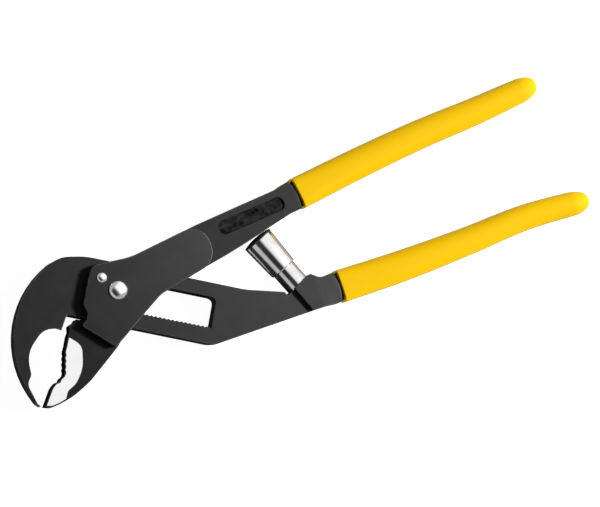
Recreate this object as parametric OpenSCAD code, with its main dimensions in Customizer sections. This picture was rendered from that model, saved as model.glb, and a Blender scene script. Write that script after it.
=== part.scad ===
// Self-adjusting water pump pliers, 10 inch class.
// Millimetres. The tool lies flat: X runs from the jaws to the grips, Z is up.
// The origin is the pivot's axis on the plane of the rear cheek.

/* [Head and jaws] */
// Thickness of the slotted bar and of the upper jaw
bar_t = 8; // [7:0.5:9]
// Thickness of each cheek of the head
cheek_t = 3.8; // [3:0.2:5]
// Free space between the bar and a cheek
bar_gap = 0.2; // [0.1:0.05:0.4]
// Width of the slotted bar above the pivot's line
bar_above = 11.5; // [11:0.1:12]
// Width of the slotted bar below the pivot's line
bar_below = 13.4; // [13:0.1:13.8]
// Gap between the jaws at rest
jaw_gap = 1.5; // [1.2:0.1:2.4]
// Depth of the notches in the jaws
notch_d = 0.4; // [0.2:0.1:0.8]
// Depth of the ground flats on the jaws
flat_d = 0.3; // [0.1:0.1:0.6]

/* [Slot, rack and pawl] */
// Slot edge above the pivot's line
slot_above = 5.6; // [5.5:0.1:6]
// Tips of the rack below the pivot's line
rack_below = 6.6; // [6.4:0.1:7]
// Depth of the rack teeth
rack_d = 0.5; // [0.3:0.1:0.8]
// Pitch of the rack teeth
rack_pitch = 1.8; // [1.6:0.1:2.6]
// Length of the slot from the pivot toward the grips
slot_reach = 41.3; // [40.5:0.1:43]
// Free space between the pawl and the slot
pawl_gap = 0.3; // [0.2:0.05:0.5]

/* [Rivets] */
// Diameter of the pivot rivet's shank
rivet_d = 6.4; // [5.6:0.1:7]
// Diameter of the pivot rivet's dome
rivet_head_d = 7.9; // [7.4:0.1:9]
// Height of the pivot rivet's dome
rivet_head_h = 1.9; // [1.5:0.1:3]
// Diameter of the guide pin's shank
pin_d = 2.6; // [2:0.1:2.8]
// Diameter of the guide pin's dome
pin_head_d = 4.3; // [3.4:0.1:5]
// Height of the guide pin's dome
pin_head_h = 1.1; // [0.8:0.1:1.8]
// Radial clearance of the rivet and the pin in their bores
bore_gap = 0.08; // [0.04:0.02:0.1]

/* [Plunger] */
// Outside diameter of the tube
tube_d = 10.2; // [9.6:0.1:10.4]
// Wall of the tube
tube_wall = 1; // [0.9:0.05:1.2]
// Length of tube that shows below the sleeve
tube_show = 8.5; // [7:0.5:9]
// Depth of the socket in the lower lever
socket_deep = 8.8; // [7:0.2:9.6]
// Step from the tube out to the sleeve's lower edge
sleeve_step = 0.75; // [0.7:0.05:0.9]
// Widening of the sleeve from its lower edge to the cap
sleeve_flare = 0.75; // [0.55:0.05:0.9]
// Wire of the spring
wire_d = 1.1; // [0.8:0.1:1.3]
// Turns of the spring
spring_turns = 8; // [5:1:10]

/* [Grips] */
// Length of the upper grip along the tool
upper_grip_l = 115.2; // [100:0.2:130]
// Length of the lower grip along the tool
lower_grip_l = 116.3; // [100:0.2:130]
// Thickness of the dipped coat at the sides of the tang
dip_t = 1.3; // [1.1:0.1:1.6]
// Thickness of the grips from front to rear
grip_t = 11.4; // [10.6:0.2:12]
// Thickness of the tangs inside the grips
tang_t = 6.8; // [6:0.2:7]
// Steps along each grip
grip_steps = 28; // [16:2:40]

/* [Part shown] */
// Name of the piece to draw, or all

/* [Hidden] */
$fn = 64;
// The bar runs down from the jaws to the grips at this angle
bar_angle = -30;
// Levels through the thickness, from the rear cheek to the front plate
web_t = bar_t + 2 * bar_gap;
web_low = cheek_t;
web_top = cheek_t + web_t;
front = web_top + cheek_t;
mid = front / 2;
bar_low = mid - bar_t / 2;
bar_top = mid + bar_t / 2;
// Room for the bar to turn in the head, closing and opening
close_turn = 2.7;
open_turn = 21;
// Guide pin, along and above the bar from the pivot
pin_u = -7.5;
pin_v = 3.7;
// Underside of the upper shank, and its top edge
under_at = [34, -3.2];
under_angle = 12.5;
under_bulge = 0.5;
under_run = 19;
top_at = [20.2, 12.7];
top_slope = 0.124;
// Plunger: centre of the socket's mouth, and the direction that the sleeve points
mouth = [73.6, -21];
plunger_angle = 113;
tube_bore = tube_d - 2 * tube_wall;
sleeve_low_r = tube_d / 2 + sleeve_step;
sleeve_top_r = sleeve_low_r + sleeve_flare;
sleeve_bore_r = sleeve_low_r - 0.3;
lip_h = 1.2;
ring_h = 2;
ring_seat = 0.4;
sleeve_gap = 0.12;
// Cap of the plunger: its dome just clears the shank's underside at rest
cap_r = 25;
cap_h = 1.4;
cap_gap = 0.14;
cap_x = mouth.x + plunger_reach() * cos(plunger_angle);
cap_tilt = plunger_angle - 90 - atan(under_y(cap_x + 0.5) - under_y(cap_x - 0.5));
cap_crown = plunger_reach() + cap_r - (cap_r + cap_gap) / cos(cap_tilt);
sleeve_end = cap_crown - cap_h;
plug_h = 2.4;
// Half thickness of the socket block and of the collars at the grips
block_half = tube_d / 2 + 1.2;
collar_half = 5.2;
// Where the socket block and the shank begin, thin down to their collars, and end
block_x = [60, 80, 87.5, 95];
shank_x = [0, 77.5, 84.5, 95];
// Lower edge of the web and of the socket block
web_low_y = -33.6;
// Height of the grips' edges above the collars, and the groove between them, wider at the sides
rim_step = 0.5;
rim_groove = 0.7;
rim_bow = 1.1;
// Where the grips begin, and their stations as share of the length, y and half width
upper_grip_x = 85.8;
lower_grip_x = 89.9;
upper_stations = [[0, 14.1, 6.8], [0.257, 18.1, 6.5], [0.508, 21.3, 6.2],
    [0.759, 23.4, 5.8], [1, 26.3, 5.1]];
lower_stations = [[0, -27.8, 6.9], [0.254, -28.1, 6.6], [0.505, -27.3, 6],
    [0.756, -25.8, 5.5], [1, -27.4, 5.1]];
upper_line = [for (s = upper_stations) [upper_grip_x + s.x * upper_grip_l, s.y, s.z]];
lower_line = [for (s = lower_stations) [lower_grip_x + s.x * lower_grip_l, s.y, s.z]];
// Length of the grips' round ends, and how far the tangs reach into them
grip_round = 9;
tang_into = 2;
// Back of the hooked jaw, an arc about a centre along and across the bar
hook_u = 1.4;
hook_v = -20;
hook_r = 39.7;
// Corners along and across the bar, with radii: front of the cheeks, and the jaws' ground flats
cheek_nose = [[-12.8, 7.6, 5], [-13.1, -8.2, 2], [-10.6, -11.8, 2], [-10.6, -14.8, 1], [-12.4, -17, 0.8]];
upper_flat = [[-14, -20.8, 0], [-14, -54, 0], [-21, -54, 0], [-28.7, -44.2, 4],
    [-27.8, -40.3, 3], [-31.2, -32, 12], [-26.5, -21.2, 7], [-21.5, -19.8, 3]];
lower_flat = [[-24, -22.4, 0], [-14.8, -22.4, 1], [-9.6, -24.4, 5], [-7.6, -33.5, 14],
    [-9.2, -40, 8], [-12, -43.6, 3], [-12.6, -54, 0], [-24, -54, 0]];
// Back of the lower jaw, from its tip to the cheeks
jaw_back = [[-17.2, -51.5, 4], [-14.4, -49.7, 12], [-9.3, -45.3, 25],
    [-3.9, -38.4, 30], [1, -29.3, 30], [4.9, -21.9, 0]];
// Lower corner of the cheeks, where their underside turns, and the end of their tongue
cheek_foot = [-8.4, -21.5, 1.2];
cheek_turn_x = 16.3;
tongue_x = 43;
// Oblong sunk panel on the shank: its middle, size, corner radius, depth and slope
panel_at = [63.9, 11.5];
panel_l = 30;
panel_w = 6;
panel_r = 2.6;
panel_d = 0.7;
panel_slope = 4.5;

// Point at u along and v across the bar
function on_bar(u, v) = [u * cos(bar_angle) - v * sin(bar_angle), u * sin(bar_angle) + v * cos(bar_angle)];
// Corner of an outline on the bar, with its radius
function bar_corner(u, v, r = 0) = [on_bar(u, v).x, on_bar(u, v).y, r];
function bar_corners(c) = [for (p = c) bar_corner(p.x, p.y, p.z)];
// The underside bulges a little where the plunger's cap slides along it
function under_y(x) = under_at.y + tan(under_angle) * (x - under_at.x)
    - under_bulge * max(0, 1 - pow((x - under_at.x) / under_run - 1, 2));
// Distance from the socket's mouth to the shank's underside, along the plunger
function plunger_reach(t = 25, n = 8) = n == 0 ? t
    : plunger_reach((under_y(mouth.x + t * cos(plunger_angle)) - mouth.y) / sin(plunger_angle), n - 1);
function top_y(x) = top_at.y + top_slope * (x - top_at.x);
function unit(a) = a / norm(a);
function turned(a, w) = [a.x * cos(w) - a.y * sin(w), a.x * sin(w) + a.y * cos(w)];
function flat(p) = [p.x, p.y];
// Arc that rounds the corner p between a and b
function corner_arc(a, p, b, r, n) =
    let (da = unit(a - p), db = unit(b - p), half = acos(da * db) / 2)
    let (centre = p + unit(da + db) * r / sin(half), start = p + da * r / tan(half) - centre)
    let (way = cross(p - a, b - p) > 0 ? 1 : -1)
    [for (k = [0:n]) centre + turned(start, way * (180 - 2 * half) * k / n)];
// Outline from corners [x, y, radius]
function rounded(c, n = 6) = [for (i = [0:len(c) - 1])
    let (a = flat(c[(i + len(c) - 1) % len(c)]), p = flat(c[i]), b = flat(c[(i + 1) % len(c)]))
    each (c[i].z > 0 ? corner_arc(a, p, b, c[i].z, n) : [p])];
// Smooth curve through evenly spaced stations
function blend(a, b, c, d, t) =
    (2 * b + (c - a) * t + (2 * a - 5 * b + 4 * c - d) * t * t + (3 * b - a - 3 * c + d) * t * t * t) / 2;
function along(line, s) =
    let (last = len(line) - 1, i = min(floor(s * last), last - 1), b = line[i], c = line[i + 1])
    let (a = i > 0 ? line[i - 1] : 2 * b - c, d = i + 2 <= last ? line[i + 2] : 2 * c - b)
    blend(a, b, c, d, s * last - i);
function across(line, s) =
    let (way = along(line, min(s + 0.01, 1)) - along(line, max(s - 0.01, 0)))
    unit([-way.y, way.x]);
// End of a collar at its grip: bowed out, with rounded corners
function collar_end(line) = [for (k = [-5:5])
    let (t = k / 5, side = across(line, 0), back = turned(side, 90))
    let (p = flat(line[0]) + side * t * (line[0].z - rim_step) + back * (rim_groove + rim_bow * t * t))
    [p.x, p.y, abs(k) == 5 ? 0.7 : 0]];
function line_length(line) = norm(flat(line[len(line) - 1]) - flat(line[0]));

// Middle of the gap between the jaws, as u, v and notch (1) or tip (0)
jaw_middle = [[-17, -22.6, 0], [-17, -25.6, 0], [-17.2, -28.5, 0], [-17.1, -29.6, 1], [-16.9, -30.8, 0],
    [-16.7, -32, 1], [-16.5, -33.1, 0], [-16.3, -34.3, 1], [-16.1, -35.4, 0], [-15.9, -36.6, 1],
    [-15.7, -37.9, 0], [-16.8, -39.4, 0], [-17.2, -40.5, 0.5], [-18.3, -41.3, 0], [-19, -42.6, 0],
    [-19.6, -44, 0], [-20.9, -51.8, 0]];
function jaw_edge(side) = [for (p = jaw_middle)
    bar_corner(p.x + side * (jaw_gap / 2 + notch_d * p.z), p.y)];
function backward(a) = [for (i = [len(a) - 1:-1:0]) a[i]];

// Hooked upper jaw, slotted bar and web up to the socket block
module lower_plate() {
    // The bar's lower edge turns here into the level edge under the socket block
    bend_u = (web_low_y + bar_below * cos(bar_angle)) / sin(bar_angle);
    back = [for (a = [140:6:224]) bar_corner(hook_u + hook_r * cos(a), hook_v + hook_r * sin(a))];
    polygon(rounded(concat(
        [[66.6, -22.5, 0.8], bar_corner(53, bar_above, 40), bar_corner(-15, bar_above, 30),
        bar_corner(-24.4, bar_above - 2.1, 12)],
        back,
        [bar_corner(-23.6, -50.9, 1.5)],
        backward(jaw_edge(-1)),
        [bar_corner(-19.3, -21.2, 1), bar_corner(-18.1, -bar_below, 0.8),
        bar_corner(bend_u, -bar_below, 12), [78, web_low_y, 0], [78, -20.5, 0], [68.6, -23.8, 0],
        [67.4, -24.4, 0]])));
}

// Slot through the bar, with the rack along its lower edge
module slot_outline() {
    rack = [for (i = [0:floor((slot_reach + 10) / rack_pitch) - 1]) let (u = -10 + i * rack_pitch)
        each [on_bar(u, -rack_below - rack_d), on_bar(u + rack_pitch / 2, -rack_below)]];
    polygon(concat(rack, [on_bar(slot_reach, -rack_below - rack_d)],
        corner_arc(on_bar(slot_reach, 0), on_bar(slot_reach, slot_above), on_bar(0, slot_above), 2.5, 6),
        corner_arc(on_bar(0, slot_above), on_bar(-12.2, slot_above), on_bar(-12.2, 0), 2, 6),
        [on_bar(-12.2, -rack_below - rack_d)]));
}

// Socket block and collar, seen from above
module block_outline() {
    left = turned([0, tube_d / 2 - 1.6], plunger_angle);
    right = turned([0, -tube_d / 2 - 0.5], plunger_angle);
    edge = mouth + left;
    foot = edge + unit(turned([-1, 0], plunger_angle)) * (edge.y - web_low_y) / sin(plunger_angle);
    polygon(rounded(concat(
        [[mouth.x + right.x, mouth.y + right.y, 0.9], [edge.x, edge.y, 0.6], [foot.x, foot.y, 0],
        [83, web_low_y, 25]],
        collar_end(lower_line),
        [[82.4, -21.7, 4]])));
}

// Bar of changing thickness along X, as [x, half thickness] from left to right
module thickness(sections) {
    upper = [for (s = sections) [s.x, mid + s.y]];
    under = [for (s = backward(sections)) [s.x, mid - s.y]];
    translate([0, 60, 0])
        rotate([90, 0, 0])
            linear_extrude(120)
                polygon(concat(upper, under));
}

// Flat tang that a grip covers, rooted in the collar
module tang(line, grow = 0) {
    half = tang_t / 2 + grow;
    root = turned(across(line, 0), 90) * 3;
    steps = [for (k = [0:16]) k / 16 * (1 - (grip_round - tang_into - grow) / line_length(line))];
    middle = [for (k = [0:16]) flat(along(line, steps[k])) + (k == 0 ? root : [0, 0])];
    side = [for (s = steps) across(line, s) * (along(line, s).z - dip_t + grow)];
    translate([0, 0, mid - half])
        linear_extrude(2 * half)
            polygon(concat(
                [for (k = [0:16]) middle[k] - side[k]],
                [for (k = [16:-1:0]) middle[k] + side[k]]));
}

// Ground flats of both jaws, front and rear
module ground_flat(c) {
    for (z = [mid - web_t, mid + bar_t / 2 - flat_d])
        translate([0, 0, z])
            linear_extrude(web_t - bar_t / 2 + flat_d)
                polygon(rounded(bar_corners(c)));
}

module along_plunger() {
    translate([mouth.x, mouth.y, mid])
        rotate([0, 0, plunger_angle])
            rotate([0, 90, 0])
                children();
}

// Lower lever: upper jaw, slotted bar with its rack, socket block and tang, one forging
module lower_lever() {
    color("DimGray") difference() {
        union() {
            translate([0, 0, bar_low])
                linear_extrude(bar_t)
                    lower_plate();
            intersection() {
                linear_extrude(2 * front)
                    block_outline();
                thickness([[block_x[0], block_half], [block_x[1], block_half],
                    [block_x[2], collar_half], [block_x[3], collar_half]]);
            }
            tang(lower_line);
        }
        translate([0, 0, -1])
            linear_extrude(front + 2)
                slot_outline();
        ground_flat(upper_flat);
        along_plunger()
            translate([0, 0, -socket_deep])
                cylinder(d = tube_d + 0.06, h = socket_deep + 20);
    }
}

// Head of the upper lever, the outline that both cheeks share
module head_outline() {
    polygon(rounded(concat(
        [cheek_foot, [cheek_turn_x, under_y(cheek_turn_x), 12], [tongue_x, under_y(tongue_x), 8],
        [tongue_x, top_y(tongue_x), 8], [9.5, top_y(9.5) - 0.2, 30]],
        bar_corners(cheek_nose))));
}

// Shank of the upper lever from the bar's upper edge to the collar
module shank_outline() {
    gap = bar_gap + 0.3;
    near_u = 4;
    far_u = 30;
    under = [for (x = [34:3:70]) [x, under_y(x), 0]];
    polygon(rounded(concat([bar_corner(near_u, bar_above + gap + near_u * tan(close_turn)),
        bar_corner(far_u, bar_above + gap + far_u * tan(close_turn))], under,
        [[81.5, 7.5, 10]], collar_end(upper_line), [[82.2, 19.9, 4], [77.5, top_y(77.5) - 1.2, 20],
        [60, top_y(60) - 0.6, 60], [40, top_y(40), 0], [9, top_y(9) - 0.4, 0]])));
}

// Lower jaw up to the bar's lower edge
module lower_jaw_outline() {
    gap = bar_gap + 0.3;
    top = bar_below / cos(open_turn) + gap;
    shoulder_u = -14.3;
    polygon(rounded(concat(
        [bar_corner(shoulder_u, -bar_below - gap + shoulder_u * tan(close_turn), 0.3)],
        bar_corners([[shoulder_u, -15.4, 0.8], [-16.4, -17.6, 0.8], [-15.8, -19.8, 1.5]]),
        jaw_edge(1),
        bar_corners(jaw_back),
        [bar_corner(6.3, -top - 6.3 * tan(open_turn), 0), bar_corner(0, -top, 0),
        bar_corner(-1.5, -bar_below - gap - 1.5 * tan(close_turn), 0)])));
}

// Bores of the pivot rivet, countersunk at the rear, and of the guide pin
module head_bores() {
    pin_at = on_bar(pin_u, pin_v);
    translate([0, 0, -1])
        cylinder(d = rivet_d + 2 * bore_gap, h = front + 2);
    translate([0, 0, -0.01])
        cylinder(d1 = rivet_d + 2 * bore_gap + 3, d2 = rivet_d + 2 * bore_gap, h = 1.51);
    translate([pin_at.x, pin_at.y, -1])
        cylinder(d = pin_d + 0.04, h = front + 2);
}

// Upper lever: lower jaw, rear cheek, shank and tang, one forging
module upper_lever() {
    color("DimGray") difference() {
        union() {
            linear_extrude(web_low)
                head_outline();
            translate([0, 0, web_low])
                linear_extrude(web_t)
                    lower_jaw_outline();
            intersection() {
                linear_extrude(2 * front)
                    shank_outline();
                thickness([[shank_x[0], web_t / 2], [shank_x[1], web_t / 2],
                    [shank_x[2], collar_half], [shank_x[3], collar_half]]);
            }
            tang(upper_line);
        }
        ground_flat(lower_flat);
        head_bores();
        // Oblong sunk panels on the shank
        for (z = [mid - front - web_t / 2 + panel_d, mid + web_t / 2 - panel_d])
            translate([panel_at.x, panel_at.y, z])
                rotate([0, 0, panel_slope])
                    linear_extrude(front)
                        polygon(rounded([for (p = [[1, -1], [1, 1], [-1, 1], [-1, -1]])
                            [p.x * panel_l / 2, p.y * panel_w / 2, panel_r]]));
    }
}

// Front cheek, a plate held on the upper lever by the rivet and the pin
module cheek_plate() {
    color("DimGray") difference() {
        translate([0, 0, web_top])
            linear_extrude(cheek_t)
                head_outline();
        head_bores();
    }
}

// Cap of a sphere with diameter d and height h, standing on z = 0
module dome(d, h) {
    r = (d * d / 4 + h * h) / (2 * h);
    low = asin((r - h) / r);
    rotate_extrude()
        polygon(concat([[0, 0]], [for (k = [0:10]) let (a = low + (90 - low) * k / 10)
            [k == 10 ? 0 : r * cos(a), h - r + r * sin(a)]]));
}

// Pivot rivet: dome in front, shank, countersunk end just under the rear face
module pivot_rivet() {
    sunk = 0.15;
    color("Silver") union() {
        translate([0, 0, sunk])
            cylinder(d = rivet_d, h = front + 0.05 - sunk);
        translate([0, 0, sunk])
            cylinder(d1 = rivet_d + 3 - 2 * sunk, d2 = rivet_d, h = 1.5 - sunk);
        translate([0, 0, front + 0.05])
            dome(rivet_head_d, rivet_head_h);
    }
}

// Guide pin: the smaller dome, with its shank through both cheeks
module guide_pin() {
    pin_at = on_bar(pin_u, pin_v);
    sunk = 0.15;
    color("Silver") translate([pin_at.x, pin_at.y, 0]) union() {
        translate([0, 0, sunk])
            cylinder(d = pin_d, h = front - sunk);
        translate([0, 0, front])
            dome(pin_head_d, pin_head_h);
    }
}

// Pawl: toothed block that rides in the slot on the pivot rivet
module pawl() {
    high = slot_above - pawl_gap;
    tip = rack_below - pawl_gap;
    root = tip - rack_d;
    left = -10.8;
    right = 11.4;
    count = floor((right - left) / rack_pitch);
    teeth = [for (i = [0:count - 1]) let (u = left + i * rack_pitch)
        each [on_bar(u, -root), on_bar(u + rack_pitch / 2, -tip)]];
    color("Gray") difference() {
        translate([0, 0, bar_low + 0.1])
            linear_extrude(bar_t - 0.2)
                polygon(concat(teeth, [on_bar(left + count * rack_pitch, -root), on_bar(right, -root)],
                    corner_arc(on_bar(right, 0), on_bar(right, high), on_bar(0, high), 3, 6),
                    corner_arc(on_bar(0, high), on_bar(-5.2, high), on_bar(-5.2, 0), 1.5, 5),
                    corner_arc(on_bar(-5.2, 0), on_bar(-5.2, -1.8), on_bar(-8, -1.8), 1, 5),
                    corner_arc(on_bar(-8, -1.8), on_bar(left, -1.8), on_bar(left, -3), 0.8, 4)));
        cylinder(d = rivet_d + 2 * bore_gap, h = front);
    }
}

// Plunger tube, standing in the lower lever's socket
module plunger_tube() {
    tall = tube_show + lip_h + 0.4 + ring_h;
    color("Silver") along_plunger() difference() {
        translate([0, 0, 0.1 - socket_deep])
            cylinder(d = tube_d, h = tall + socket_deep - 0.1);
        translate([0, 0, 1.3 - socket_deep])
            cylinder(d = tube_bore, h = tall + socket_deep);
        translate([0, 0, tall - ring_h])
            difference() {
                cylinder(d = tube_d + 2, h = ring_h + 1);
                translate([0, 0, -1])
                    cylinder(d = tube_d - 2 * ring_seat, h = ring_h + 3);
            }
    }
}

// Guide ring on the top of the tube, which holds the sleeve on
module guide_ring() {
    color("Ivory") along_plunger()
        translate([0, 0, tube_show + lip_h + 0.4])
            difference() {
                cylinder(r = sleeve_bore_r - sleeve_gap, h = ring_h);
                translate([0, 0, -1])
                    cylinder(d = tube_d - 2 * ring_seat + 0.04, h = ring_h + 2);
            }
}

// Plunger sleeve: a tapered shell with its lower lip turned in round the tube
module plunger_sleeve() {
    color("Silver") along_plunger()
        rotate_extrude()
            polygon([[tube_d / 2 + sleeve_gap, tube_show], [sleeve_bore_r, tube_show],
                [sleeve_low_r, tube_show + 0.4], [sleeve_top_r, sleeve_end], [sleeve_bore_r, sleeve_end],
                [sleeve_bore_r, tube_show + lip_h], [tube_d / 2 + sleeve_gap, tube_show + lip_h]]);
}

// Cap of the plunger, domed where the upper shank slides over it
module plunger_cap() {
    low = asin(sleeve_top_r / cap_r);
    color("DimGray") along_plunger()
        rotate_extrude()
            polygon(concat([[0, sleeve_end - plug_h], [sleeve_bore_r, sleeve_end - plug_h],
                [sleeve_bore_r, sleeve_end], [sleeve_top_r, sleeve_end]],
                [for (k = [0:12]) let (a = low * (1 - k / 12))
                    [cap_r * sin(a), cap_crown - cap_r + cap_r * cos(a)]]));
}

// Faces of a polyhedron made of rings of points, closed at its first and last ring
function skin(rings, sides) = concat(
    [for (k = [0:rings - 2]) for (j = [0:sides - 1])
        let (a = k * sides + j, b = k * sides + (j + 1) % sides)
        each [[a, b, b + sides], [a, b + sides, a + sides]]],
    [[for (j = [sides - 1:-1:0]) j], [for (j = [0:sides - 1]) (rings - 1) * sides + j]]);

// Plunger spring, from the floor of the tube to the plug of the cap
module plunger_spring() {
    coil_r = (tube_bore - wire_d) / 2 - 0.25;
    low = 1.35 - socket_deep + wire_d / 2;
    high = sleeve_end - plug_h - 0.05 - wire_d / 2;
    sides = 8;
    steps = spring_turns * 20;
    slope = atan((high - low) / (spring_turns * 360 * PI / 180 * coil_r));
    points = [for (k = [0:steps])
        let (a = spring_turns * 360 * k / steps, z = low + (high - low) * k / steps)
        for (j = [0:sides - 1])
            let (w = 360 * j / sides, out = cos(w) * wire_d / 2, up = sin(w) * wire_d / 2)
            [(coil_r + out) * cos(a) + up * sin(slope) * sin(a),
                (coil_r + out) * sin(a) - up * sin(slope) * cos(a),
                z + up * cos(slope)]];
    color("Gray") along_plunger()
        polyhedron(points, skin(steps + 1, sides));
}

// Dipped grip round a tang, with a round end
module grip(line) {
    sides = 28;
    soft = 2.4;
    start = 1 - grip_round / line_length(line);
    steps = concat([for (k = [0:grip_steps]) [start * k / grip_steps, 1]],
        [for (k = [1:7]) let (a = k / 7.4 * 90) [start + (1 - start) * sin(a), pow(cos(a), 0.8)]]);
    points = [for (s = steps) let (c = along(line, s.x), n = across(line, s.x))
        for (j = [0:sides - 1]) let (w = 360 * j / sides)
            let (b = sign(cos(w)) * pow(abs(cos(w)), 2 / soft))
            let (h = sign(sin(w)) * pow(abs(sin(w)), 2 / soft))
            [c.x + n.x * b * c.z * s.y, c.y + n.y * b * c.z * s.y, mid + h * grip_t / 2 * s.y]];
    difference() {
        polyhedron(points, skin(len(steps), sides));
        tang(line, 0.05);
    }
}

module lower_grip() {
    color("Gold") grip(lower_line);
}

module upper_grip() {
    color("Gold") grip(upper_line);
}

lower_lever();
upper_lever();
cheek_plate();
pivot_rivet();
guide_pin();
pawl();
plunger_tube();
guide_ring();
plunger_spring();
plunger_sleeve();
plunger_cap();
lower_grip();
upper_grip();
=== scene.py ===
import math

import bmesh
import bpy
import numpy as np
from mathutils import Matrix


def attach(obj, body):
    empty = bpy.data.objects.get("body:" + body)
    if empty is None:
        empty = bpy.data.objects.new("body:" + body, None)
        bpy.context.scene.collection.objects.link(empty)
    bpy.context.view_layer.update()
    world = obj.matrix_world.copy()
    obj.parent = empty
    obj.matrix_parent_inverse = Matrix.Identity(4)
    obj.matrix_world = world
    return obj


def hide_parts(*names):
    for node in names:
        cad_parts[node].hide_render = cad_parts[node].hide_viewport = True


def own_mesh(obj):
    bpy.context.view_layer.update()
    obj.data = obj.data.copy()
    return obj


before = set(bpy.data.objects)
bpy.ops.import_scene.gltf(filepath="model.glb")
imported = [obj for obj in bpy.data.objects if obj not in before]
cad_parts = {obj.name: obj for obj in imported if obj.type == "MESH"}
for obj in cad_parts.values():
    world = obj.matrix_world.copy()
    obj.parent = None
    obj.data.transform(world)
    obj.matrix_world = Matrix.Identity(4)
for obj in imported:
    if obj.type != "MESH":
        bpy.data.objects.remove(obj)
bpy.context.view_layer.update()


# Lower lever: hooked upper jaw, slotted bar with its rack, socket block and tang in one drop forging.
# Tool steel, blacked all over; the faces of the jaw are ground bright afterwards.
# Its edges are broken by tumbling, so they catch a thin line of light; the rounded strips are also painted
# lighter than the faces, partly as wear through the black and partly as a painted highlight.
middle_z = 8
jaw_end_x = -10
ground_half = 3.7
ground_thick = 2 * ground_half
lever_break = 0.3
hook_tip_x, hook_tip_y = -45.5, -27.6
upper_collar_x, lower_collar_x = 84, 88
block_x = 60
bar_cuts = (-10, 24)
same_height = 0.05
square_on = 0.97


def put(tree, kind, inputs=None, **settings):
    """Places a node of that kind, sets its settings, and fills its inputs with values or links."""
    node = tree.nodes.new("ShaderNode" + kind)
    for key, value in settings.items():
        setattr(node, key, value)
    for key, value in (inputs or {}).items():
        if isinstance(value, bpy.types.NodeSocket):
            tree.links.new(value, node.inputs[key])
        else:
            node.inputs[key].default_value = value
    return node


def new_group(name, inputs, outputs):
    """An empty node group with number inputs and outputs; an input called Place is a vector."""
    tree = bpy.data.node_groups.new(name, "ShaderNodeTree")
    for label in inputs:
        kind = "NodeSocketVector" if label == "Place" else "NodeSocketFloat"
        tree.interface.new_socket(label, in_out="INPUT", socket_type=kind)
    for label in outputs:
        tree.interface.new_socket(label, in_out="OUTPUT", socket_type="NodeSocketFloat")
    return tree, tree.nodes.new("NodeGroupInput").outputs, tree.nodes.new("NodeGroupOutput").inputs


def surface_grain():
    """Two sizes of noise on the same place: Mottle drifts slowly from 0 to 1, Grain is a fine height."""
    tree, inputs, outputs = new_group("surface_grain", ["Place", "Mottle Scale", "Grain Scale"],
        ["Mottle", "Grain"])
    slow = put(tree, "TexNoise", {"Vector": inputs["Place"], "Scale": inputs["Mottle Scale"], "Detail": 4.0})
    fine = put(tree, "TexNoise", {"Vector": inputs["Place"], "Scale": inputs["Grain Scale"], "Detail": 3.0})
    spread = put(tree, "MapRange", {"Value": slow.outputs["Fac"], "From Min": 0.3, "From Max": 0.7})
    tree.links.new(spread.outputs["Result"], outputs["Mottle"])
    tree.links.new(fine.outputs["Fac"], outputs["Grain"])
    return tree


grain_group = surface_grain()


def finish(name, dark, light, rough, mottle_scale, grain_scale, bump_mm, fixed, painted_light_drift=None):
    """A material whose colour runs from dark to light and whose roughness runs over its range with the slow
    mottle, and whose surface is raised by the fine grain. fixed holds values that are the same all over. With
    a painted_light_drift (first x, last x) the colour goes from dark to light along X, as painted light or
    shade along the tool, and the mottle only stirs it."""
    material = bpy.data.materials.new(name)
    material.use_nodes = True
    tree = material.node_tree
    shader = tree.nodes["Principled BSDF"]
    place = put(tree, "TexCoord").outputs["Object"]
    grain = put(tree, "Group", {"Place": place, "Mottle Scale": mottle_scale, "Grain Scale": grain_scale},
        node_tree=grain_group)
    share = grain.outputs["Mottle"]
    if painted_light_drift:
        stir = 0.15
        x = put(tree, "SeparateXYZ", {"Vector": place}).outputs["X"]
        part = put(tree, "MapRange", {"Value": x, "From Min": painted_light_drift[0] / 1000, "From Max": painted_light_drift[1] / 1000})
        share = put(tree, "Mix", {0: stir, 2: part.outputs["Result"], 3: share}).outputs[0]
    tone = put(tree, "Mix", {0: share, 6: (*dark, 1), 7: (*light, 1)}, data_type="RGBA")
    gloss = put(tree, "MapRange", {"Value": grain.outputs["Mottle"], "To Min": rough[0], "To Max": rough[1]})
    relief = put(tree, "Bump", {"Height": grain.outputs["Grain"], "Distance": bump_mm / 1000})
    tree.links.new(tone.outputs[2], shader.inputs["Base Color"])
    tree.links.new(gloss.outputs["Result"], shader.inputs["Roughness"])
    tree.links.new(relief.outputs["Normal"], shader.inputs["Normal"])
    for key, value in fixed.items():
        shader.inputs[key].default_value = value
    return material


def blacked(name, dark, light, painted_light_drift):
    """Black oxide on a face: a matt grey, faintly blue, whose level rises from dark to light along the tool;
    that rise is painted light, brighter towards the lamp on the right.
    """
    blue = 1.04
    return finish(name, (dark, dark, blue * dark), (light, light, blue * light), rough=(0.44, 0.52),
        mottle_scale=160, grain_scale=3200, bump_mm=0.012, fixed={"Specular IOR Level": 0.06}, painted_light_drift=painted_light_drift)


# The bar's black is painted lighter along X, towards the lamp on the right: painted light.
bar_black = blacked("bar_black", 0.0115, 0.0315, (-45, 90))
# The block's slope is painted a darker black than the faces beside it: painted shade that keeps the slope,
# which faces the lamp, from reading brighter.
block_slope_shaded = blacked("block_slope_shaded", 0.0175, 0.0195, (80, 90))
# The walls get a darker black than the faces: painted shade on the walls.
black_side_shaded = finish("black_side_shaded", (0.008, 0.008, 0.0085), (0.013, 0.013, 0.014), rough=(0.42, 0.55),
    mottle_scale=260, grain_scale=2200, bump_mm=0.02, fixed={"Specular IOR Level": 0.5})
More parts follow.
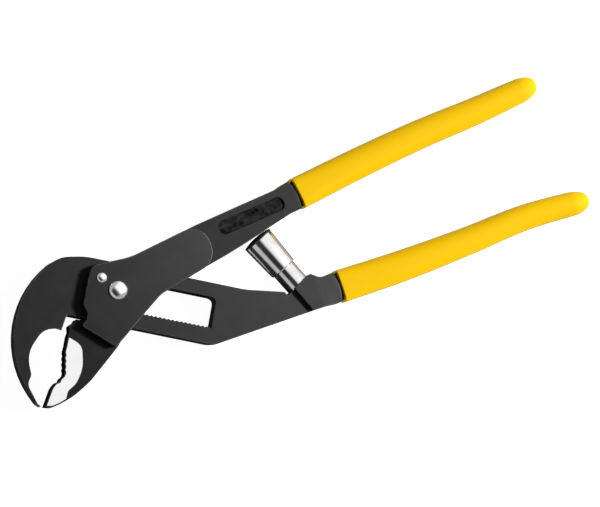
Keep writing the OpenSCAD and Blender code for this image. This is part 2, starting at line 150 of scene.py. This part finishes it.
# The rounded edges are lighter than the faces: partly wear through the black, partly a painted highlight
# line.
worn_edge_and_highlight = finish("worn_edge_and_highlight", (0.018, 0.018, 0.019), (0.055, 0.055, 0.056), rough=(0.4, 0.5),
    mottle_scale=420, grain_scale=3000, bump_mm=0.008, fixed={"Specular IOR Level": 0.35})
# Near black: painted shade on the toothed walls in the gap between the jaws and on the bar's lower edge.
painted_shade_black = finish("painted_shade_black", (0.002, 0.002, 0.002), (0.005, 0.005, 0.005), rough=(0.6, 0.75),
    mottle_scale=600, grain_scale=2400, bump_mm=0.03, fixed={"Specular IOR Level": 0.05})


def ground_steel(name, dark, light):
    """Bright steel with the fine parallel lines of a grinding belt: noise drawn out along one way."""
    belt_turn, belt_scale = (0, 0, math.radians(60)), (120, 5200, 120)
    material = bpy.data.materials.new(name)
    material.use_nodes = True
    tree = material.node_tree
    shader = tree.nodes["Principled BSDF"]
    place = put(tree, "TexCoord").outputs["Object"]
    turn = put(tree, "Mapping", {"Vector": place, "Rotation": belt_turn, "Scale": belt_scale})
    lines = put(tree, "TexNoise", {"Vector": turn.outputs["Vector"], "Scale": 1.0, "Detail": 4.0})
    tone = put(tree, "Mix", {0: lines.outputs["Fac"], 6: (dark, dark, dark, 1), 7: (light, light, light, 1)},
        data_type="RGBA")
    gloss = put(tree, "MapRange", {"Value": lines.outputs["Fac"], "To Min": 0.12, "To Max": 0.22})
    relief = put(tree, "Bump", {"Height": lines.outputs["Fac"], "Distance": 0.000004})
    tree.links.new(tone.outputs[2], shader.inputs["Base Color"])
    tree.links.new(gloss.outputs["Result"], shader.inputs["Roughness"])
    tree.links.new(relief.outputs["Normal"], shader.inputs["Normal"])
    shader.inputs["Metallic"].default_value = 1
    return material


hook_ground = ground_steel("hook_ground", 0.91, 0.96)


def forging(name, node, body, cuts, edge_mm, finishes, sort_faces):
    """The node's own solid, welded, cut across at each x of cuts so that no face runs round a hole, and
    with its flat facets joined. An edge is rounded where an outer face turns into a wall: one of its two
    normals points along Z away from the middle plane, the other is level and points away from the first
    face. edge_mm gives the rounding at a place (x, y, z), and sort_faces the finish of each face."""
    edge_slot, join_within = 2, 2e-6
    level_share, turn_share, wall_height = 0.3, 0.3, 1
    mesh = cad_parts[node].data.copy()
    mesh.name = name
    weld = bmesh.new()
    weld.from_mesh(mesh)
    bmesh.ops.remove_doubles(weld, verts=weld.verts, dist=join_within)
    for x in cuts:
        everything = weld.verts[:] + weld.edges[:] + weld.faces[:]
        made = bmesh.ops.bisect_plane(weld, geom=everything, dist=1e-7, plane_co=(x / 1000, 0, 0),
            plane_no=(1, 0, 0))
        for item in made["geom_cut"]:
            if isinstance(item, bmesh.types.BMEdge):
                item.seam = True
    bmesh.ops.dissolve_limit(weld, angle_limit=math.radians(0.4), verts=weld.verts, edges=weld.edges,
        delimit={"SEAM"})
    weld.to_mesh(mesh)
    weld.free()
    mesh.materials.clear()
    for item in finishes:
        mesh.materials.append(item)

    points = np.empty(3 * len(mesh.vertices))
    mesh.vertices.foreach_get("co", points)
    points = points.reshape(-1, 3) * 1000
    normals = np.empty(3 * len(mesh.polygons))
    mesh.polygons.foreach_get("normal", normals)
    normals = normals.reshape(-1, 3)
    start = np.empty(len(mesh.polygons), int)
    count = np.empty(len(mesh.polygons), int)
    mesh.polygons.foreach_get("loop_start", start)
    mesh.polygons.foreach_get("loop_total", count)
    corner = np.empty(len(mesh.loops), int)
    edge = np.empty(len(mesh.loops), int)
    mesh.loops.foreach_get("vertex_index", corner)
    mesh.loops.foreach_get("edge_index", edge)
    face = np.repeat(np.arange(len(start)), count)
    following = np.arange(len(corner)) + 1
    following[start + count - 1] = start
    way = points[corner[following]] - points[corner]
    inward = np.cross(normals[face], way)
    low = np.minimum.reduceat(points[corner, 2], start)
    high = np.maximum.reduceat(points[corner, 2], start)
    middle = np.add.reduceat(points[corner], start) / count[:, None]

    order = np.argsort(edge, kind="stable")
    one, two = order[0::2], order[1::2]
    outer = (np.abs(normals[:, 2]) > square_on) & (normals[:, 2] * (middle[:, 2] - middle_z) > 0)
    wall = (np.abs(normals[:, 2]) < level_share) & (high - low > wall_height)
    rim = (outer[face[one]] & wall[face[two]]) | (wall[face[one]] & outer[face[two]])
    outwards = (inward[one] * normals[face[two]]).sum(1) < -turn_share * np.linalg.norm(way[one], axis=1)
    place = (points[corner[one]] + points[corner[following[one]]]) / 2
    radius = edge_mm(*place.T)
    weight = np.zeros(len(mesh.edges), np.float32)
    weight[edge[one]] = (rim & outwards) * radius / radius.max()
    mesh.attributes.new("bevel_weight_edge", "FLOAT", "EDGE").data.foreach_set("value", weight)
    mesh.polygons.foreach_set("material_index", sort_faces(normals, middle, low, high).astype(np.int32))
    mesh.polygons.foreach_set("use_smooth", np.ones(len(start), bool))
    mesh.set_sharp_from_angle(angle=math.radians(32))
    mesh.update()

    piece = bpy.data.objects.new(name, mesh)
    bpy.context.scene.collection.objects.link(piece)
    rounding = piece.modifiers.new("broken_edges", "BEVEL")
    rounding.limit_method = "WEIGHT"
    rounding.width = radius.max() / 1000
    rounding.segments = 3
    rounding.use_clamp_overlap = False
    rounding.material = edge_slot
    piece.modifiers.new("joined_points", "WELD").merge_threshold = join_within
    piece.modifiers.new("even_shading", "WEIGHTED_NORMAL").keep_sharp = True
    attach(piece, body)
    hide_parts(node)


def on_ground_face(x, z):
    """True where a place lies at the height of the jaws' ground faces, and on a jaw."""
    return (np.abs(np.abs(z - middle_z) - ground_half) < same_height) & (x < jaw_end_x)


def bar_faces(normals, middle, low, high):
    """Slot of each face: 0 on a front or rear face, 1 on a wall, 3 on the jaw's ground faces, 4 where the
    block slopes down to its collar, and 5 on faces painted near-black as shade: the toothed walls, which go
    from one ground face to the other, and the bar's lower edge."""
    facing, sloping, leftwards, downwards = 0.9, 0.03, -0.2, -0.8
    flat = np.abs(normals[:, 2]) > facing
    ground = flat & on_ground_face(middle[:, 0], middle[:, 2])
    slope = flat & (np.abs(normals[:, 0]) > sloping) & (middle[:, 0] > block_x)
    toothed = ~flat & (np.abs(high - low - ground_thick) < same_height) & (middle[:, 0] < jaw_end_x)
    down = (normals[:, 0] < leftwards) & (normals[:, 1] < downwards)
    under = ~flat & down & (middle[:, 0] > jaw_end_x)
    return np.select([ground, slope, toothed | under, flat], [3, 4, 5, 0], 1)


def lever_edges(x, y, z):
    """Rounding in mm: the same all round, but none on the ground faces, which are cut last, where the
    hook's face runs out to nothing at its tip, and at the collars' ends, which the dip masks."""
    hook_tip = (x < hook_tip_x) & (y < hook_tip_y)
    collar_end = x > np.where(y > 0, upper_collar_x, lower_collar_x)
    return np.where(on_ground_face(x, z) | hook_tip | collar_end, 0, lever_break)


forging("lower_lever_forging", "lower_lever", "lower_handle", bar_cuts,
    lever_edges, [bar_black, black_side_shaded, worn_edge_and_highlight, hook_ground, block_slope_shaded, painted_shade_black], bar_faces)


# Pawl: a hardened steel block with teeth on its lower edge, riding on the pivot rivet inside the slot.
# It is milled and left plain, so it stays a dull grey between the black cheeks.
pawl_break = 0.15
pawl_cuts = (0.1,)
pawl_steel = finish("pawl_steel", (0.16, 0.16, 0.165), (0.26, 0.26, 0.265), rough=(0.35, 0.5),
    mottle_scale=500, grain_scale=4200, bump_mm=0.006, fixed={"Metallic": 1.0})
pawl_edge = finish("pawl_edge", (0.3, 0.3, 0.3), (0.42, 0.42, 0.42), rough=(0.3, 0.4),
    mottle_scale=600, grain_scale=4200, bump_mm=0.004, fixed={"Metallic": 1.0})


def even_edges(mm):
    """The same rounding at every place."""
    return lambda x, y, z: np.full(len(x), mm)


def plain_faces(normals, middle, low, high):
    """Slot 0 on a front or rear face, 1 on all others."""
    return np.abs(normals[:, 2]) < square_on


forging("pawl_block", "pawl", "pawl_block", pawl_cuts, even_edges(pawl_break),
    [pawl_steel, pawl_steel, pawl_edge], plain_faces)


# Upper lever: lower jaw, rear cheek, shank and tang in one drop forging, blacked like the first one.
# The sunk oblong panels on both sides of the shank are left rough from the die. Their floors are painted
# darker and more mottled than the shank: painted shade in the sunk panels.
panel_half = 3.5
panel_first_x, panel_last_x = 40, 80
jaw_chamfer = 0.7
shoulder_x, jaw_root_x = -20.6, -8
wall_across, wall_offset, wall_near = (0.459, 0.889), 14.1, 0.9
shank_cuts = (-4, 0.1, 60)
# The shank's black is painted lighter along X, towards the lamp on the right: painted light.
shank_black = blacked("shank_black", 0.005, 0.025, (-45, 90))
# The shank's slope is painted a lighter black than the faces beside it: painted light that evens the slope's
# shading with them.
shank_slope_lit = blacked("shank_slope_lit", 0.029, 0.032, (77, 86))
# The sunk panels' floors are painted darker than the shank: painted shade in the recess.
rough_shaded_floor = finish("rough_shaded_floor", (0.0005, 0.0005, 0.0005), (0.022, 0.022, 0.0225), rough=(0.6, 0.75),
    mottle_scale=480, grain_scale=800, bump_mm=0.1, fixed={"Specular IOR Level": 0.0})
jaw_ground = ground_steel("jaw_ground", 0.77, 0.9)


def shank_faces(normals, middle, low, high):
    """As on the bar, with slot 6 on the floors of the sunk panels."""
    at_floor = np.abs(np.abs(middle[:, 2] - middle_z) - panel_half) < same_height
    sunk = at_floor & (middle[:, 0] > panel_first_x) & (middle[:, 0] < panel_last_x)
    return np.where(sunk & (np.abs(normals[:, 2]) > square_on), 6, bar_faces(normals, middle, low, high))


def jaw_edges(x, y, z):
    """As on the bar, but the lower jaw's ground faces end in a chamfer that is left black, not ground, and
    the jaw's wall below the bar, a line at an offset across its way, stays sharp up to its tight corner."""
    from_wall = np.abs(wall_across[0] * x + wall_across[1] * y + wall_offset)
    below_bar = (from_wall < wall_near) & (x > shoulder_x) & (x < jaw_root_x)
    return np.where(on_ground_face(x, z), jaw_chamfer, np.where(below_bar, 0, lever_edges(x, y, z)))


forging("upper_lever_forging", "upper_lever", "upper_handle", shank_cuts,
    jaw_edges, [shank_black, black_side_shaded, worn_edge_and_highlight, jaw_ground, shank_slope_lit, painted_shade_black, rough_shaded_floor],
    shank_faces)


# Front cheek: a blanked steel plate on the head, with a round-ended tongue along the shank.
# The pivot rivet and the guide pin hold it; its upper edge is rounded in the press.
cheek_break = 0.5
cheek_cuts = (-4.7, 0.1)
# The cheek's black is painted lighter along X, towards the lamp on the right: painted light.
cheek_black = blacked("cheek_black", 0.0135, 0.034, (-15, 45))
# The cheek's walls are painted near black: painted shade along the cheek's edges, where its shadow falls.
cheek_side_shaded = finish("cheek_side_shaded", (0.003, 0.003, 0.003), (0.007, 0.007, 0.007), rough=(0.55, 0.7),
    mottle_scale=260, grain_scale=2200, bump_mm=0.02, fixed={"Specular IOR Level": 0.1})
# The cheek's rounded edges are painted lighter than its face: a painted highlight line.
pressed_edge_highlight = finish("pressed_edge_highlight", (0.022, 0.022, 0.023), (0.06, 0.06, 0.062), rough=(0.38, 0.48),
    mottle_scale=420, grain_scale=3000, bump_mm=0.008, fixed={"Specular IOR Level": 0.12})
forging("front_cheek", "cheek_plate", "upper_handle", cheek_cuts,
    even_edges(cheek_break), [cheek_black, cheek_side_shaded, pressed_edge_highlight], plain_faces)


# Pivot rivet and guide pin: turned steel, set from the front with polished domes, flush at the rear.
# The pivot's rear end fills a countersink in the rear cheek.
rivet_rear = 0.15
pivot_place, pivot_shank_r, pivot_seat = (0, 0, 0), 3.2, 16.05
sink_r, sink_top = 4.55, 1.5
pivot_head, pivot_rise, pivot_under_head_r = 7.9, 1.9, 3.9
pin_place, pin_shank_r, pin_seat = (-4.645, 6.954, 0), 1.3, 16
pin_head, pin_rise, pin_under_head_r = 4.3, 1.1, 2.1


def eased(corners, radius, steps=6):
    """Profile with each inner corner cut back by its radius and bridged by a parabola: the sum of the
    two cut points and the corner, weighted (1-t)^2, t^2 and 2t(1-t)."""
    corners = np.array(corners, float)
    radius = np.broadcast_to(np.array(radius, float), len(corners) - 2)[:, None]
    before, at, after = corners[:-2], corners[1:-1], corners[2:]
    to_before = (before - at) / np.linalg.norm(before - at, axis=1, keepdims=True)
    to_after = (after - at) / np.linalg.norm(after - at, axis=1, keepdims=True)
    t = np.linspace(0, 1, steps)[None, :, None]
    bridge = ((1 - t) ** 2 * (at + to_before * radius)[:, None] + t ** 2 * (at + to_after * radius)[:, None]
        + 2 * t * (1 - t) * at[:, None])
    return np.vstack([corners[:1], bridge.reshape(-1, 2), corners[-1:]])


def into_piece(name, grid, body, node, material, smooth_deg=40):
    """A mesh from a grid of points: neighbours along both ways make quads, the second way closes on
    itself, points that fall together are welded, and faces are turned outwards."""
    rows, columns = grid.shape[:2]
    here = np.arange(rows * columns).reshape(rows, columns)
    side = np.roll(here, -1, axis=1)
    quads = np.stack([here[:-1], side[:-1], side[1:], here[1:]], -1).reshape(-1, 4)
    mesh = bpy.data.meshes.new(name)
    mesh.from_pydata((grid.reshape(-1, 3) / 1000).tolist(), [], quads.tolist())
    weld = bmesh.new()
    weld.from_mesh(mesh)
    bmesh.ops.remove_doubles(weld, verts=weld.verts, dist=1e-7)
    bmesh.ops.recalc_face_normals(weld, faces=weld.faces)
    weld.to_mesh(mesh)
    weld.free()
    mesh.materials.append(material)
    mesh.polygons.foreach_set("use_smooth", np.ones(len(mesh.polygons), bool))
    mesh.set_sharp_from_angle(angle=math.radians(smooth_deg))
    mesh.update()
    piece = bpy.data.objects.new(name, mesh)
    bpy.context.scene.collection.objects.link(piece)
    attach(piece, body)
    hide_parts(node)
    return piece


def turned(profile, foot, axis, sides=96):
    """Points of a lathe-turned shape: each profile point (radius, height) goes round the axis, as
    foot + height * axis + radius * (cos a * level + sin a * upright)."""
    profile, axis = np.array(profile, float), np.array(axis, float)
    helper = np.array([0, 0, 1.0]) if abs(axis[2]) < 0.9 else np.array([1.0, 0, 0])
    level = np.cross(axis, helper)
    level /= np.linalg.norm(level)
    upright = np.cross(axis, level)
    a = np.linspace(0, 2 * np.pi, sides, endpoint=False)[None, :, None]
    radius, height = profile[:, 0, None, None], profile[:, 1, None, None]
    return np.array(foot) + height * axis + radius * (np.cos(a) * level + np.sin(a) * upright)


def dome(width, height, base, steps=24):
    """Half section of a set rivet head, from the rim at base up to the top on the axis: 0.4 of a circle's
    arc, with its centre r below the top, and 0.6 of an ellipse on the same rim."""
    arc_share, oval_share = 0.4, 0.6
    r = (width * width / 4 + height * height) / (2 * height)
    a = np.linspace(0, math.pi / 2, steps)
    out = width / 2 * np.cos(a)
    out[-1] = 0
    arc = np.sqrt(r * r - out * out) - r + height
    return np.stack([out, base + arc_share * arc + oval_share * height * np.sin(a)], 1)


rivet_chrome = finish("rivet_chrome", (0.86, 0.86, 0.87), (0.95, 0.95, 0.96), rough=(0.14, 0.2),
    mottle_scale=300, grain_scale=2600, bump_mm=0.002, fixed={"Metallic": 1.0})
pivot_side = eased([(0, rivet_rear), (sink_r, rivet_rear), (pivot_shank_r, sink_top),
    (pivot_shank_r, pivot_seat), (pivot_under_head_r, pivot_seat)], [0.25, 0.1, 0.05])
pivot_profile = np.vstack([pivot_side, dome(pivot_head, pivot_rise, pivot_seat)])
into_piece("pivot_rivet_turned", turned(pivot_profile, pivot_place, (0, 0, 1)), "pivot",
    "pivot_rivet", rivet_chrome)
pin_side = eased([(0, rivet_rear), (pin_shank_r, rivet_rear), (pin_shank_r, pin_seat),
    (pin_under_head_r, pin_seat)], [0.15, 0.05])
pin_profile = np.vstack([pin_side, dome(pin_head, pin_rise, pin_seat)])
into_piece("guide_pin_turned", turned(pin_profile, pin_place, (0, 0, 1), sides=64), "upper_handle",
    "guide_pin", rivet_chrome)


# Plunger tube: drawn steel tube, chromed, pressed into the socket of the lower lever.
# Heights on the plunger go up its axis from the mouth of that socket.
plunger_foot = (73.6, -21, middle_z)
plunger_way = (-0.390731, 0.920505, 0)
tube_r, tube_neck_r, tube_bore_r = 5.1, 4.7, 4.1
tube_foot, tube_floor, tube_shoulder, tube_top = -8.7, -7.5, 10.1, 12.1
# Its specular tint is dark, so the chrome dims at grazing angles: a painted dark rim along the outlines of
# the tube and sleeve.
tube_chrome = finish("tube_chrome", (0.74, 0.74, 0.75), (0.84, 0.84, 0.85), rough=(0.1, 0.16),
    mottle_scale=220, grain_scale=3000, bump_mm=0.0012,
    fixed={"Metallic": 1.0, "Specular Tint": (0.3, 0.3, 0.31, 1)})
tube_loop = [(0, tube_foot), (tube_r, tube_foot), (tube_r, tube_shoulder), (tube_neck_r, tube_shoulder),
    (tube_neck_r, tube_top), (tube_bore_r, tube_top), (tube_bore_r, tube_floor), (0, tube_floor)]
tube_profile = eased(tube_loop, [0.3, 0.1, 0.05, 0.2, 0.2, 0.2])
into_piece("plunger_tube_drawn", turned(tube_profile, plunger_foot, plunger_way),
    "lower_handle", "plunger_tube", tube_chrome)


# Plunger sleeve: drawn steel, chromed like the tube that it slides on, and wider towards its top.
# Its lower lip is turned in, so that the ring on the tube keeps it.
sleeve_low, sleeve_top = 8.5, 24.2
sleeve_bore_r, sleeve_top_r = 5.55, 6.6
lip_r, lip_middle_r, lip_top = 5.22, 5.4, 9.7
sleeve_foot_r, sleeve_foot = 5.85, 8.9
sleeve_loop = [(lip_middle_r, sleeve_low), (sleeve_bore_r, sleeve_low), (sleeve_foot_r, sleeve_foot),
    (sleeve_top_r, sleeve_top), (sleeve_bore_r, sleeve_top), (sleeve_bore_r, lip_top), (lip_r, lip_top),
    (lip_r, sleeve_low), (lip_middle_r, sleeve_low)]
sleeve_profile = eased(sleeve_loop, [0.05, 0.2, 0.15, 0.1, 0.1, 0.1, 0.1])
into_piece("plunger_sleeve_drawn", turned(sleeve_profile, plunger_foot, plunger_way),
    "plunger", "plunger_sleeve", tube_chrome)


# Guide ring: a moulded nylon ring snapped on the neck at the top of the tube.
# It centres the sleeve and keeps it from coming off.
ring_r, ring_bore_r, ring_middle_r, ring_edge = 5.43, 4.72, 5, 0.12
ring_nylon = finish("ring_nylon", (0.03, 0.03, 0.032), (0.05, 0.05, 0.052), rough=(0.45, 0.6),
    mottle_scale=400, grain_scale=2800, bump_mm=0.006, fixed={})
ring_loop = [(ring_middle_r, tube_shoulder), (ring_r, tube_shoulder), (ring_r, tube_top),
    (ring_bore_r, tube_top), (ring_bore_r, tube_shoulder), (ring_middle_r, tube_shoulder)]
into_piece("guide_ring_moulded", turned(eased(ring_loop, ring_edge), plunger_foot, plunger_way),
    "lower_handle", "guide_ring", ring_nylon)


# Plunger spring: eight turns of hard drawn wire between the tube's floor and the cap.
# It pushes the handles apart, and shortens as they are squeezed.
def coil(radius, wire, low, high, turns, foot, axis, steps=48, sides=12):
    """A helix of the given turns climbing evenly from low to high, with a round wire about it:
    the wire's circle lies in the plane of the outward way and the way at right angles to the helix."""
    axis = np.array(axis, float)
    level = np.cross(axis, (0, 0, 1.0))
    upright = np.cross(axis, level)
    t = np.linspace(0, 1, int(turns * steps) + 1)
    a = (2 * np.pi * turns * t)[:, None]
    outward = np.cos(a) * level + np.sin(a) * upright
    onward = (-np.sin(a) * level + np.cos(a) * upright) * radius + axis * (high - low) / (2 * np.pi * turns)
    onward /= np.linalg.norm(onward, axis=1, keepdims=True)
    over = np.cross(onward, outward)
    line = np.array(foot) + axis * (low + (high - low) * t)[:, None] + radius * outward
    w = np.linspace(0, 2 * np.pi, sides, endpoint=False)[None, :, None]
    tube = line[:, None] + wire / 2 * (np.cos(w) * outward[:, None] + np.sin(w) * over[:, None])
    return np.concatenate([line[:1, None] + 0 * tube[:1], tube, line[-1:, None] + 0 * tube[-1:]])


spring_wire = finish("spring_wire", (0.22, 0.22, 0.225), (0.34, 0.34, 0.345), rough=(0.25, 0.38),
    mottle_scale=500, grain_scale=3600, bump_mm=0.003, fixed={"Metallic": 1.0})
spring_coil = coil(radius=3.3, wire=1.1, low=-6.9, high=21.2, turns=8, foot=plunger_foot, axis=plunger_way)
plunger_spring = into_piece("plunger_spring_coil", spring_coil, "lower_handle", "plunger_spring",
    spring_wire)
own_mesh(plunger_spring)


# Plunger cap: black moulded plug in the top of the sleeve.
# Its top is crowned, where the shank slides over it.
cap_low, cap_top, crown_r = 21.8, 25.6, 25
cap_plastic = finish("cap_plastic", (0.009, 0.009, 0.0095), (0.016, 0.016, 0.017), rough=(0.5, 0.62),
    mottle_scale=500, grain_scale=2400, bump_mm=0.012, fixed={"Specular IOR Level": 0.3})
crown_angle = np.linspace(math.asin(sleeve_top_r / crown_r), 0, 16)
crown = np.stack([crown_r * np.sin(crown_angle), cap_top - crown_r + crown_r * np.cos(crown_angle)], 1)
cap_side = eased([(0, cap_low), (sleeve_bore_r, cap_low), (sleeve_bore_r, sleeve_top),
    (sleeve_top_r, sleeve_top), tuple(crown[0]), tuple(crown[1])], [0.3, 0.05, 0.12, 0.2])
cap_profile = np.vstack([cap_side, crown[2:]])
into_piece("plunger_cap_moulded", turned(cap_profile, plunger_foot, plunger_way), "plunger",
    "plunger_cap", cap_plastic)


# Grips: soft yellow vinyl, dipped over the flat tangs and drained from the end, so the end is round
# and the edge at the collar draws in to a rolled rim. Each holds its tang in a closed socket.
grip_rim, grip_round, grip_half = 0.6, 9, 5.7
grip_coat, socket_half, socket_end, socket_mouth = 1.2, 3.5, 6.9, 0.15 * grip_rim
oval_power, collar_power, collar_fade, end_power = 2.4, 2.2, 9, 0.8
upper_line = [(85.8, 14.1, 6.8), (115.4, 18.1, 6.5), (144.3, 21.3, 6.2), (173.2, 23.4, 5.8),
    (201, 26.3, 5.1)]
lower_line = [(89.9, -27.8, 6.9), (119.4, -28.1, 6.6), (148.6, -27.3, 6), (177.8, -25.8, 5.5),
    (206.2, -27.4, 5.1)]


def grip_shape(stations, steps=150, sides=72):
    """Sections across a smooth line through the stations (x, y, half width), on a Catmull-Rom curve.
    A section is a rounded oblong |a|^n + |b|^n = 1, squarer at the collar. The first steps roll the
    edge out of the collar on a quarter circle; the last ones shrink it to the end as cos(a)^0.8.
    The oblong socket for the tang goes in from the collar, one coat inside the grip's sides."""
    line = np.array(stations, float)
    line = np.vstack([2 * line[0] - line[1], line, 2 * line[-1] - line[-2]])
    length = np.linalg.norm(line[-2, :2] - line[1, :2])

    def at(s):
        place = np.clip(s, 0, 1) * (len(stations) - 1)
        i = np.minimum(place.astype(int), len(stations) - 2)
        t = (place - i)[:, None]
        p, q, r, w = line[i], line[i + 1], line[i + 2], line[i + 3]
        bend, twist = 2 * p - 5 * q + 4 * r - w, 3 * q - p - 3 * r + w
        return (2 * q + (r - p) * t + bend * t ** 2 + twist * t ** 3) / 2

    def sections(s, wide, high):
        centre = at(s)
        step = 0.01
        way = at(s + step)[:, :2] - at(s - step)[:, :2]
        across = np.stack([-way[:, 1], way[:, 0]], 1) / np.linalg.norm(way, axis=1, keepdims=True)
        return np.stack([centre[:, 0, None] + across[:, 0, None] * wide,
            centre[:, 1, None] + across[:, 1, None] * wide, middle_z + high], -1)

    roll = np.linspace(0, np.pi / 2, 8)
    tail = np.linspace(0, np.pi / 2, 24)[1:]
    last = 1 - grip_round / length
    s = np.concatenate([grip_rim * (1 - np.cos(roll)) / length,
        np.linspace(grip_rim / length, last, steps)[1:], last + (1 - last) * np.sin(tail)])
    shrink = np.concatenate([np.ones(len(s) - len(tail)), np.maximum(np.cos(tail), 0) ** end_power])
    inset = np.concatenate([grip_rim * (1 - np.sin(roll)), np.zeros(steps - 1 + len(tail))])
    square = oval_power + collar_power * np.exp(-s * length / collar_fade)
    w = np.linspace(0, 2 * np.pi, sides, endpoint=False)[None, :]
    side = np.sign(np.cos(w)) * np.abs(np.cos(w)) ** (2 / square[:, None])
    lift = np.sign(np.sin(w)) * np.abs(np.sin(w)) ** (2 / square[:, None])
    half_wide = (at(s)[:, 2] - inset) * shrink
    half_high = (grip_half - inset) * shrink
    skin = sections(s, half_wide[:, None] * side, half_high[:, None] * lift)

    deep = np.linspace(1 - socket_end / length, socket_mouth / length, 17)
    reach = np.maximum(np.abs(np.cos(w)), np.abs(np.sin(w)))
    socket = sections(deep, (at(deep)[:, 2] - grip_coat)[:, None] * np.cos(w) / reach,
        np.full((len(deep), 1), socket_half) * np.sin(w) / reach)
    bottom = socket[:1].mean(axis=1, keepdims=True) + 0 * socket[:1]
    return np.concatenate([bottom, socket, skin])


# The yellow is painted a little darker towards the grips' ends: painted shade that evens out the lamp, which
# lights the ends more.
grip_vinyl = finish("grip_vinyl", (0.56, 0.34, 0.001), (0.51, 0.31, 0.001), rough=(0.42, 0.52),
    mottle_scale=60, grain_scale=1100, bump_mm=0.015, fixed={"Specular IOR Level": 0.03}, painted_light_drift=(85, 205))
into_piece("upper_grip_dipped", grip_shape(upper_line), "upper_handle", "upper_grip",
    grip_vinyl, smooth_deg=60)
into_piece("lower_grip_dipped", grip_shape(lower_line), "lower_handle", "lower_grip",
    grip_vinyl, smooth_deg=60)


# Studio: a white table top under a dome of soft boxes, and a long lens a little left of straight above.
# The table glows to the lens, so that it stays white, and on the sides of the tool. Sizes are in metres.
table_half, table_z = 8, -0.0001
lens_glow, side_glow = 0.97, 1.9
table_corners = [(-table_half, -table_half, table_z), (table_half, -table_half, table_z),
    (table_half, table_half, table_z), (-table_half, table_half, table_z)]
floor_mesh = bpy.data.meshes.new("table_top")
floor_mesh.from_pydata(table_corners, [], [(0, 1, 2, 3)])
table_white = finish("table_white", (0.3, 0.3, 0.3), (0.32, 0.32, 0.32), rough=(0.7, 0.8),
    mottle_scale=3, grain_scale=900, bump_mm=0.002, fixed={"Specular IOR Level": 0.0})
table = table_white.node_tree
ray = put(table, "LightPath").outputs
to_lens = put(table, "Math", {0: ray["Is Camera Ray"], 1: lens_glow}, operation="MULTIPLY").outputs["Value"]
strength = put(table, "Math", {0: ray["Is Diffuse Ray"], 1: side_glow, 2: to_lens}, operation="MULTIPLY_ADD")
glow = put(table, "Emission", {"Color": (1, 1, 1, 1), "Strength": strength.outputs["Value"]})
paint = table.nodes["Principled BSDF"]
lit = put(table, "AddShader", {0: paint.outputs["BSDF"], 1: glow.outputs["Emission"]})
table.links.new(lit.outputs["Shader"], table.nodes["Material Output"].inputs["Surface"])
table_white.cycles.emission_sampling = "NONE"
floor_mesh.materials.append(table_white)
floor = bpy.data.objects.new("table_top", floor_mesh)
bpy.context.scene.collection.objects.link(floor)

world = bpy.data.worlds.new("soft_boxes")
world.use_nodes = True
bpy.context.scene.world = world
sky = world.node_tree
across_plunger, along_plunger, upwards = (0.92, 0.39, 0), (-0.39, 0.92, 0), (0, 0, 1)
room_grey, room_strength = (0.4, 0.4, 0.4, 1), 1.05
toward = put(sky, "TexCoord").outputs["Generated"]
right_part = put(sky, "VectorMath", {0: toward, 1: across_plunger}, operation="DOT_PRODUCT").outputs["Value"]
side_part = put(sky, "VectorMath", {0: toward, 1: along_plunger}, operation="DOT_PRODUCT").outputs["Value"]
up_part = put(sky, "VectorMath", {0: toward, 1: upwards}, operation="DOT_PRODUCT").outputs["Value"]
angle = put(sky, "Math", {0: right_part, 1: up_part}, operation="ARCTAN2").outputs["Value"]
share = put(sky, "MapRange", {"Value": angle, "From Min": -math.pi, "From Max": math.pi}).outputs["Result"]
aside = put(sky, "Math", {0: side_part}, operation="ABSOLUTE").outputs["Value"]
open_room = put(sky, "MapRange", {"Value": aside, "From Min": 0.45, "From Max": 0.75, "To Max": 1.0})
boxes = put(sky, "ValToRGB", {"Fac": share})
stops = [(-104, 0.05), (-82, 0.05), (-77, 0.55), (-52, 0.55), (-42, 0.03), (-10, 0.03), (6, 1), (100, 1),
    (106, 0.2)]
while len(boxes.color_ramp.elements) < len(stops):
    boxes.color_ramp.elements.new(0.5)
for element, (degrees, level) in zip(boxes.color_ramp.elements, stops):
    element.position = (degrees + 180) / 360
    element.color = (level, level, level, 1)
room = put(sky, "Mix", {0: open_room.outputs["Result"], 6: boxes.outputs["Color"], 7: room_grey},
    data_type="RGBA")
sky.links.new(room.outputs[2], sky.nodes["Background"].inputs["Color"])
sky.nodes["Background"].inputs["Strength"].default_value = room_strength
world.cycles_visibility.diffuse = False


def lamp(name, place, size, watts, mirrored):
    """A square panel at a place, facing the middle of the tool and not itself seen by the camera."""
    tool_middle = (0.03, 0, 0)
    light = bpy.data.lights.new(name, "AREA")
    light.shape = "SQUARE"
    light.size = size
    light.energy = watts
    panel = bpy.data.objects.new(name, light)
    bpy.context.scene.collection.objects.link(panel)
    back = np.array(place) - tool_middle
    back /= np.linalg.norm(back)
    level = np.cross((0, 1, 0), back)
    level /= np.linalg.norm(level)
    stand = np.eye(4)
    stand[:3, 0], stand[:3, 1], stand[:3, 2], stand[:3, 3] = level, np.cross(back, level), back, place
    panel.matrix_world = stand.T
    panel.visible_camera = False
    panel.visible_glossy = mirrored


lamp("side_panel", (1.04, -0.15, 0.95), size=0.25, watts=42, mirrored=True)
lamp("top_panel", (0.03, 0, 1.5), size=3, watts=2.5, mirrored=False)

lens = bpy.data.cameras.new("long_lens")
lens.lens = 200
lens.sensor_width = 36
lens.sensor_fit = "HORIZONTAL"
lens.clip_end = 50
camera = bpy.data.objects.new("long_lens", lens)
bpy.context.scene.collection.objects.link(camera)
to_right, to_top = (0.91209, -0.33038, 0.24280), (0.31203, 0.94349, 0.11165)
to_back, eye = (-0.26596, -0.02608, 0.96363), (-0.28665, -0.04539, 1.33349)
view = np.eye(4)
view[:3, 0], view[:3, 1], view[:3, 2], view[:3, 3] = to_right, to_top, to_back, eye
camera.matrix_world = view.T
bpy.context.scene.camera = camera
bpy.context.scene.view_settings.view_transform = "Standard"
